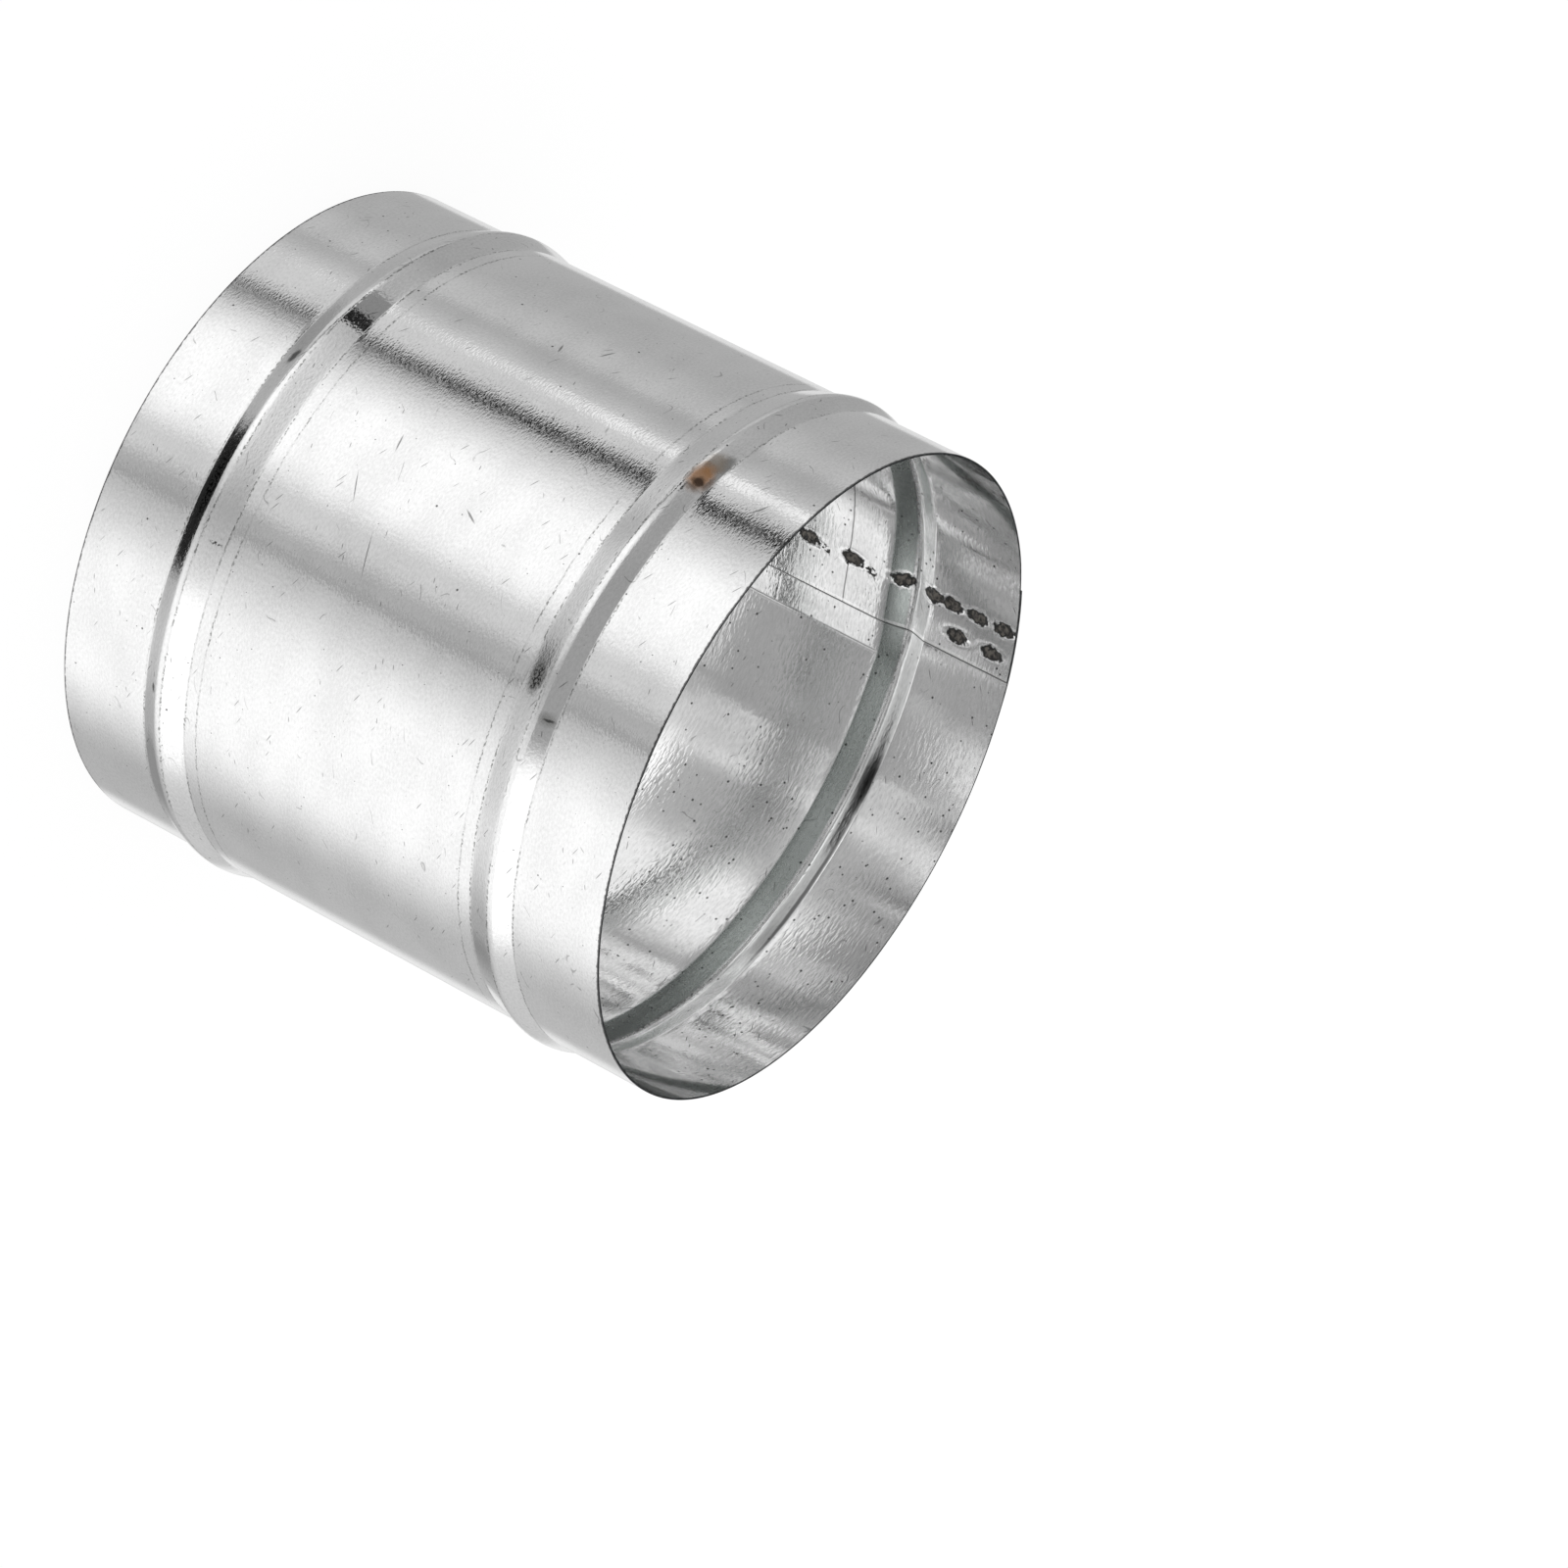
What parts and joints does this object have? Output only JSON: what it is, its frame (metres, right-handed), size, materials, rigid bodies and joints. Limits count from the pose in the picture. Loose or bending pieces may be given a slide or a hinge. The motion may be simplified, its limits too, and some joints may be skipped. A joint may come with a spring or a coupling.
{
  "type": "duct coupling",
  "caption": "Short rolled sheet-metal sleeve with a spot-welded lap seam and a raised bead near each end, for joining round ducts or flexible hoses end to end.",
  "frame": {"origin": "centre of the bottom rim", "axes": "+Z along the axis of the tube, up out of the top mouth. The lapped seam is 130 degrees from +X, on the far side, left of +Y."},
  "size_m": [0.1276, 0.1276, 0.12],
  "materials": {
    "galvanised_sheet": "bright hot-dip galvanised steel sheet, satin"
  },
  "bodies": {
    "root": {"coupling_sleeve": "galvanised_sheet"}
  },
  "joints": []
}
